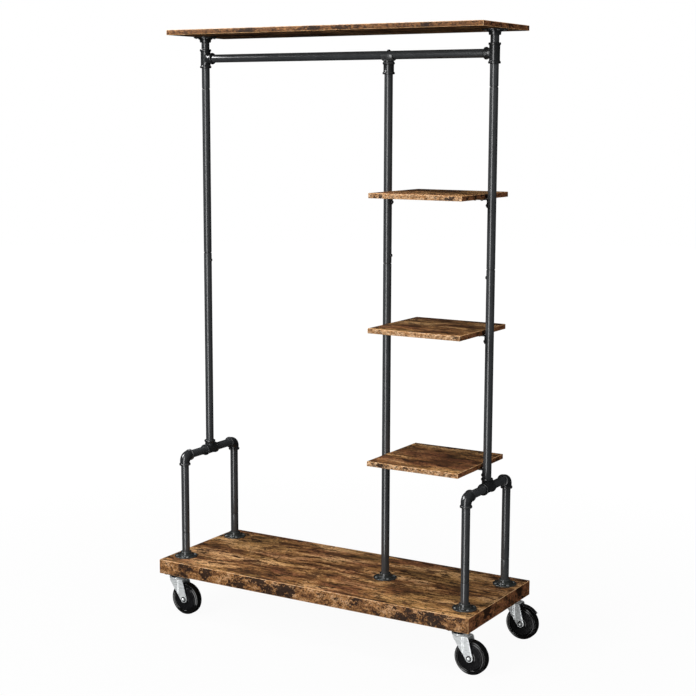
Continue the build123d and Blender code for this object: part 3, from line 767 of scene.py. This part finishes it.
brackets, bolts = [], []
for node in SHELVES:
    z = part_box(node)[0].z
    for post_x, facing in ((POST_X, 1), (UPRIGHT_X, -1)):
        brackets.append(bracket_shape(post_x, facing, z))
        bolts.append((Vector((post_x + facing * (TUBE_R + BRACKET_T), 0, z - BRACKET_BOLT)), X * facing))
        for reach in BRACKET_SCREWS:
            shelf_screws.append((Vector((post_x + facing * reach, 0, z - BRACKET_T)), -Z))
piece("bracket_strips", join(*brackets), BLACK, "rack", ["shelf_brackets"])

joint_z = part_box("inner_post_lower")[1].z
for spot, out in (
    (Vector((POST_X + TUBE_R, 0, joint_z + JOINT_BOLT)), X),
    (Vector((-UPRIGHT_X + TUBE_R, 0, joint_z - JOINT_BOLT)), X),
    (Vector((UPRIGHT_X - TUBE_R, 0, joint_z - JOINT_BOLT)), -X),
):
    bolts.append((spot, out))
heads = join(*[screw_shape(spot, out, *BOLT_SIZE) for spot, out in bolts])
piece("bolt_heads", heads, BLACK, "rack", ["pipe_bolts"])
rail_bolt = screw_shape(Vector((POST_X, 0, RAIL_Z + TUBE_R)), Z, *RAIL_BOLT_SIZE)
piece("rail_bolt_head", rail_bolt, BLACK, "rack", ["rail_bolt"])


# ---- Casters ----
joint_spots = {j["name"]: Vector(j["pos_m"]) for j in frame["joints"]}
BRAKED = [place for place in PLACES if f"brake_{place}" in joint_spots]
PLATE_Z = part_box("base_board")[0].z
PLATE_T = 2.5 * MM
PLATE_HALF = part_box("caster_plates")[1].x - joint_spots["swivel_front_right"].x
SCREW_REACH = PLATE_HALF - 6.5 * MM
FORK_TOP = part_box("fork_front_left")[1].z
WHEEL_R = size("tyre_front_left").x / 2
BOSS_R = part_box("fork_front_left")[1].x - joint_spots["roll_front_left"].x
TRAIL = joint_spots["roll_front_left"].x - joint_spots["swivel_front_left"].x
CROWN_UP = FORK_TOP - WHEEL_R    # crown above the axle
CROWN_T = 3 * MM
LEG_FRONT = 13 * MM              # leading edge of the fork, ahead of the swivel
CROWN_SHORT = 5 * MM             # its trailing edge, short of the axle
LEG_TOE = 6 * MM                 # its leading edge is upright this far down
GAP, LEG_T = 16.5 * MM, 2.5 * MM     # from the mid-plane to a cheek, and the cheek's thickness
FORK_BEND = 3.5 * MM             # outer radius of the fork's bends
CORNER_R = 6 * MM
CREASE = -22.5 * MM              # the cheek stands out ahead of here, from the axle
STEP, STEP_W = 1.5 * MM, 3.0 * MM    # how far out, and over what width it steps
STEP_LOW, STEP_HIGH = 13 * MM, 25 * MM    # the step fades in between these heights over the axle
FRONT_FOOT, BACK_FOOT = math.radians(209), math.radians(11)    # where the edges meet the boss
PLATE_CORNER, CROWN_CORNER = 6 * MM, 3 * MM
HEAD_DROP = 3.2 * MM             # the king pin's head starts this far under the fork's top


def rounded_plate(centre, half_x, half_y, top_z, thick, corner):
    """A flat plate with rounded corners and eased rims."""
    corners = [(-half_x, -half_y), (half_x, -half_y), (half_x, half_y), (-half_x, half_y)]
    outline = eased(corners, corner, closed=True, steps=8)
    ease = 0.4 * MM
    rings = []
    for depth, inset in ((0, ease), (ease, 0), (thick - ease, 0), (thick, ease)):
        row = []
        for px, py in outline:
            x = centre.x + px - math.copysign(inset, px)
            y = centre.y + py - math.copysign(inset, py)
            row.append(Vector((x, y, top_z - depth)))
        rings.append(row)
    return skin(rings)


# Turned profiles in millimetres: (radius, distance along the axis).
CUP = [(0, 0), (22.5, 0), (22.5, 2), (21.5, 5), (20.5, 8), (17.5, 11), (16, 12.6), (0, 12.6)]
KING_HEAD = [(0, 0), (8, 0), (8, 3.2), (7.2, 3.9), (4.2, 3.9), (0, 3.9)]
caster_plates = []
for place in PLACES:
    swivel = joint_spots[f"swivel_{place}"]
    under = Vector((swivel.x, swivel.y, PLATE_Z - PLATE_T))
    caster_plates.append(rounded_plate(swivel, PLATE_HALF, PLATE_HALF, PLATE_Z, PLATE_T, PLATE_CORNER))
    caster_plates.append(turned_mm(eased(CUP, 0.8), under, -Z))
    caster_plates.append(turned_mm(KING_HEAD, Vector((swivel.x, swivel.y, FORK_TOP - HEAD_DROP)), -Z))
    board_screws += [
        (under + X * dx * SCREW_REACH + Y * dy * SCREW_REACH, -Z) for dx in (-1, 1) for dy in (-1, 1)
    ]
piece("caster_plate_steel", join(*caster_plates), BLACK, "rack", ["caster_plates"])
for kind, spots in (("board", board_screws), ("shelf", shelf_screws)):
    shapes = [screw_shape(spot, out, *SCREW_SIZE) for spot, out in spots]
    piece(f"{kind}_screw_heads", join(*shapes), SCREW, "rack", [f"{kind}_screws"])


def cheek_edges(z):
    """Leading and trailing edge of a fork cheek, at a height over the axle."""
    front_foot, back_foot = (Vector((math.cos(t), math.sin(t))) * BOSS_R for t in (FRONT_FOOT, BACK_FOOT))
    toe = CROWN_UP - LEG_TOE
    lead = -TRAIL - LEG_FRONT
    round_boss = math.sqrt(max(0.0, BOSS_R ** 2 - z ** 2))
    front = lead + (front_foot.x - lead) * max(0.0, (toe - z) / (toe - front_foot.y))
    back = -CROWN_SHORT + (back_foot.x + CROWN_SHORT) * (CROWN_UP - z) / (CROWN_UP - back_foot.y)
    if z < front_foot.y:
        front = -round_boss
    if z < back_foot.y:
        back = round_boss
    over = max(0.0, z - CROWN_UP + CORNER_R)
    return front, back - CORNER_R + math.sqrt(CORNER_R ** 2 - over ** 2)


def cheek_heights():
    """The rows of a cheek, over the axle: its rolled top, its straight part and its round boss."""
    bend = [CROWN_UP - CORNER_R * (1 - math.cos(math.radians(15 * k))) for k in range(7)]
    straight = [bend[-1] * (1 - k / 16) for k in range(1, 17)]
    boss = [-BOSS_R * math.sin(math.radians(11 * k)) for k in range(1, 9)]
    return bend + straight + boss


def cheek_shape(axle, sign):
    """One pressed cheek of the fork: rolled in at its crown, proud ahead of a crease, round at its boss."""
    across = 18
    grids = ([], [])
    for z in cheek_heights():
        front, back = cheek_edges(z)
        over = max(0.0, z - CROWN_UP + FORK_BEND)
        rolled = FORK_BEND - math.sqrt(FORK_BEND ** 2 - over ** 2)
        start = max(CREASE, front + 0.5 * MM)
        stations = [front + (start - front) * k / 6 for k in range(6)]
        stations += [start + STEP_W * k / 6 for k in range(6)]
        stations += [start + STEP_W + (back - start - STEP_W) * k / 6 for k in range(7)]
        for grid, side in zip(grids, (GAP + LEG_T, GAP)):
            row = []
            for px in stations:
                t = max(0.0, min(1.0, (px - start) / STEP_W))
                fade = max(0.0, min(1.0, (z - STEP_LOW) / (STEP_HIGH - STEP_LOW)))
                proud = STEP * (1 - t * t * (3 - 2 * t)) * fade
                row.append(axle + Vector((px, sign * (side - rolled + proud), z)))
            grid.append(row)
    rows, width = len(grids[0]), across + 1
    points = [p for grid in grids for row in grid for p in row]
    block = width * rows
    faces = []
    for g in (0, block):
        for j in range(rows - 1):
            for a in range(g + j * width, g + j * width + across):
                faces.append((a, a + 1, a + 1 + width, a + width))
    rims = [[j * width for j in range(rows)], [j * width + across for j in range(rows)]]
    rims += [list(range(width)), list(range(block - width, block))]
    for rim in rims:
        faces += [(a, b, b + block, a + block) for a, b in zip(rim, rim[1:])]
    return points, faces


DISH = [(0, 0), (17, 0), (20, -1.5), (22.6, -5), (24.3, -4.8), (24.5, -3), (23.5, 1.5), (21, 3), (0, 3)]
PIN = [(0, -19.5), (1.6, -19.5), (2, -19.1), (2, 19.1), (1.6, 19.5), (0, 19.5)]
BEVEL = [(
    "BEVEL", {"width": 1.15 * MM, "segments": 3, "limit_method": "ANGLE", "angle_limit": math.radians(50)},
)]


def fork(place):
    """The pressed fork: a dished race, a crown strip and two cheeks."""
    swivel, axle = joint_spots[f"swivel_{place}"], joint_spots[f"roll_{place}"]
    disc = turned_mm(eased(DISH, 0.8), Vector((swivel.x, swivel.y, FORK_TOP)), -Z)
    half_x = (LEG_FRONT + TRAIL - CROWN_SHORT) / 2
    centre = swivel + X * (half_x - LEG_FRONT)
    half_y = GAP + LEG_T - FORK_BEND + 0.3 * MM
    strip = rounded_plate(centre, half_x, half_y, FORK_TOP, CROWN_T, CROWN_CORNER)
    cheeks = [cheek_shape(axle, sign) for sign in (-1, 1)]
    piece(
        f"fork_pressed_{place}", join(disc, strip, *cheeks), ZINC, f"caster_{place}",
        [f"fork_{place}"], modifiers=BEVEL,
    )


AXLE_HEAD = [(0, 0), (5.2, 0.9), (5.2, 3.4), (4.8, 4.6), (3.8, 5.8), (2.2, 6.6), (0, 6.8)]
# A black washer under each axle head, standing in for painted shade round the head.
SHADE_WASHER = eased([(4, 0), (8.6, 0), (8.6, 0.9), (4, 0.9)], 0.3, closed=True)


def axle(place):
    """The axle bolt, domed at each end, its bush and any pedal's pin; a black washer under each head is
    painted shade round it.
    """
    spot = joint_spots[f"roll_{place}"]
    body = f"caster_{place}"
    out = GAP + LEG_T
    shapes = [turned_mm(AXLE_HEAD, spot + Y * sign * out, Y * sign, count=48) for sign in (-1, 1)]
    reach = GAP / MM
    bush = [(4, -reach), (6, -reach), (6, reach), (4, reach)]
    shapes.append(turned_mm(bush, spot, Y, closed=True, count=48))
    if place in BRAKED:
        shapes.append(turned_mm(PIN, joint_spots[f"brake_{place}"], Y, count=32))
    piece(f"axle_bolt_{place}", join(*shapes), ZINC_BOLT, body, [f"axle_{place}"])
    # The washer under each head is black as painted shade.
    washers = [turned_mm(SHADE_WASHER, spot + Y * sign * out, Y * sign, closed=True, count=48) for sign in (-1, 1)]
    piece(f"axle_shade_washers_{place}", join(*washers), BLACK, body)


# Half of the wheel's section, in millimetres: (radius, distance from the mid-plane).
HUB_SIDE = [(6.1, 15.4), (12, 15.4), (13, 14.6), (14.2, 12.7), (16, 12.2), (35.6, 12.2), (38, 9.8)]
TYRE_SIDE = [
    (38, 9.8), (38.2, 11.6), (39.6, 12.4), (41.0, 12.2), (43.2, 11.0), (45.4, 12.2), (47.0, 12.6),
    (49.0, 11.6), (50.2, 10), (50.9, 7.6), (51, 5.5),
]


def wheel(place):
    """The moulded hub and the tyre round it."""
    spot = joint_spots[f"roll_{place}"]
    body = f"wheel_{place}"
    for name, rows, material, slot, node in (
        ("hub_mould", eased(HUB_SIDE, 0.6), HUB, "hub", "wheel_hub"),
        ("tyre_rubber", eased(TYRE_SIDE, 1.2), RUBBER, "tyre", "tyre"),
    ):
        section = rows + [(r, -h) for r, h in reversed(rows)]
        shape = turned_mm(section, spot, Y, closed=True, count=96)
        piece(f"{name}_{place}", shape, material, body, [f"{node}_{place}"])


PEDAL_HALF, PEDAL_GAP, PEDAL_T = 8 * MM, 3.5 * MM, 2.5 * MM
PEDAL_FROM, PEDAL_TO = 98, 38    # degrees round the wheel
PEDAL_RIB = 0.7 * MM
PEDAL_LIP = ((1.2, 0.4), (2.6, 1.4), (3.4, 2.8))    # its curled end, along and up in millimetres
PEDAL_EYE = [(2.1, -16), (3.2, -16), (3.2, 16), (2.1, 16)]


def pedal(place):
    """The brake pedal: a curved tread close over the wheel, with grip ribs, a curled lip and an eye."""
    spot = joint_spots[f"roll_{place}"]
    low = WHEEL_R + PEDAL_GAP
    steps = 30
    rows = []
    for k in range(steps + 1):
        turn = math.radians(PEDAL_FROM + (PEDAL_TO - PEDAL_FROM) * k / steps)
        rib = PEDAL_RIB if k > steps / 2 and k % 3 == 0 else 0.0
        away = Vector((math.cos(turn), 0, math.sin(turn)))
        rows.append((spot + away * low, spot + away * (low + PEDAL_T + rib)))
    under, over = rows[-1]
    for along, lift in PEDAL_LIP:
        shift = (X * along + Z * lift) * MM
        rows.append((under + shift, under + (over - under) * 0.8 + shift * 0.9))
    rings = []
    for low_point, high_point in rows:
        rings.append([
            p + Y * side * PEDAL_HALF
            for p, side in (
                (low_point, 0.94), (low_point.lerp(high_point, 0.2), 1), (low_point.lerp(high_point, 0.8), 1),
                (high_point, 0.94), (high_point, -0.94), (low_point.lerp(high_point, 0.8), -1),
                (low_point.lerp(high_point, 0.2), -1), (low_point, -0.94),
            )
        ])
    eye = turned_mm(PEDAL_EYE, joint_spots[f"brake_{place}"], Y, closed=True, count=32)
    piece(
        f"brake_pedal_steel_{place}", join(skin(rings), eye), BLACK, f"pedal_{place}",
        [f"brake_pedal_{place}"], sharp=30,
    )


for place in PLACES:
    fork(place)
    axle(place)
    wheel(place)
for place in BRAKED:
    pedal(place)

for node, material in (("joint_sleeves", BLACK), ("swivel_balls", ZINC)):
    mesh = frame["nodes"][node].data
    mesh.materials.clear()
    mesh.materials.append(material)


# ---- Stage, light and camera ----
FLOOR_R = 14.0
CAMERA_TURN = (31.02, 8.84, 0.18)    # degrees: azimuth from the front to the right, elevation, roll
CAMERA_SPOT = (2.3586, -3.8817, 1.5829)
CAMERA_LENS = 77.79


def floor():
    """A pale floor that fades into the white behind it, is never mirrored and casts no shadow."""
    points = ring(Vector((0, 0, 0)), X, Y, FLOOR_R, count=96)
    mesh = bpy.data.meshes.new("floor")
    mesh.from_pydata([tuple(p) for p in points], [], [tuple(range(len(points)))])
    obj = bpy.data.objects.new("floor", mesh)
    bpy.context.scene.collection.objects.link(obj)
    g = Graph("floor_pale", Roughness=0.8, Specular_IOR_Level=0.1)
    reach = g.add("ShaderNodeVectorMath", {0: g.place}, operation="LENGTH").outputs["Value"]
    far = g.add("ShaderNodeMapRange", {"Value": reach}, From_Min=0.6, From_Max=3.0).outputs["Result"]
    g.set("Base Color", g.ramp(far, (0.0, 0.26), (0.6, 0.03)))
    fade = g.add("ShaderNodeMapRange", {"Value": far}, To_Min=0.93).outputs["Result"]
    seen = g.add("ShaderNodeLightPath").outputs["Is Camera Ray"]
    share = g.sum(fade, seen, "MULTIPLY")
    white = g.add("ShaderNodeEmission", Strength=1.03)
    blend = g.add("ShaderNodeMixShader", {0: share, 1: g.shader.outputs[0], 2: white.outputs[0]})
    output = g.tree.nodes["Material Output"]
    g.tree.links.new(blend.outputs[0], output.inputs["Surface"])
    mesh.materials.append(g.material)
    obj.visible_glossy = False
    obj.visible_shadow = False


def area(name, spot, target, width, height, power, glossy=False):
    """A soft box: a glossy one is only mirrored, and any other only lights."""
    data = bpy.data.lights.new(name, "AREA")
    data.shape = "RECTANGLE"
    data.size, data.size_y, data.energy = width, height, power
    obj = bpy.data.objects.new(name, data)
    obj.location = spot
    obj.rotation_euler = (Vector(target) - Vector(spot)).to_track_quat("-Z", "Y").to_euler()
    obj.visible_glossy = glossy
    obj.visible_diffuse = not glossy
    bpy.context.scene.collection.objects.link(obj)


def world():
    """White behind the object, a low even light on it, and almost nothing to mirror."""
    data = bpy.data.worlds.new("studio")
    data.use_nodes = True
    tree = data.node_tree
    path = tree.nodes.new("ShaderNodeLightPath")
    strength = None
    for ray, value in (("Is Camera Ray", 1.0), ("Is Diffuse Ray", 0.32), ("Is Glossy Ray", 0.015)):
        share = tree.nodes.new("ShaderNodeMath")
        share.operation = "MULTIPLY_ADD"
        share.inputs[1].default_value = value
        share.inputs[2].default_value = 0.0
        tree.links.new(path.outputs[ray], share.inputs[0])
        if strength:
            tree.links.new(strength, share.inputs[2])
        strength = share.outputs[0]
    tree.links.new(strength, tree.nodes["Background"].inputs["Strength"])
    tree.nodes["Background"].inputs["Color"].default_value = (1, 1, 1, 1)
    bpy.context.scene.world = data


def camera():
    """The photograph's point of view, with its slight roll."""
    azimuth, elevation, roll = (math.radians(a) for a in CAMERA_TURN)
    data = bpy.data.cameras.new("camera")
    data.sensor_width = 36.0
    data.lens = CAMERA_LENS
    data.clip_end = 100.0
    obj = bpy.data.objects.new("camera", data)
    back = Vector((
        math.sin(azimuth) * math.cos(elevation), -math.cos(azimuth) * math.cos(elevation), math.sin(elevation)
    ))
    right = Vector((math.cos(azimuth), math.sin(azimuth), 0))
    turn = Matrix((right, back.cross(right), back)).transposed() @ Matrix.Rotation(roll, 3, "Z")
    obj.matrix_world = Matrix.Translation(CAMERA_SPOT) @ turn.to_4x4()
    bpy.context.scene.collection.objects.link(obj)
    bpy.context.scene.camera = obj


floor()
area("key", (-1.6, -4.4, 2.9), (0, 0, 0.9), 1.6, 3.6, 305)
area("fill", (4.6, -1.8, 1.6), (0, 0, 0.9), 3.0, 3.6, 85)
area("top", (-0.6, -0.6, 4.6), (0, 0, 0), 2.6, 2.2, 125)
area("strip", (0.3, -4.6, 1.2), (0.3, 0, 1.2), 1.8, 8.0, 330, glossy=True)
area("glint", (-3.0, -2.0, 3.5), (0, 0, 0.8), 1.8, 1.6, 260, glossy=True)
world()
camera()
bpy.context.scene.view_settings.view_transform = "Standard"
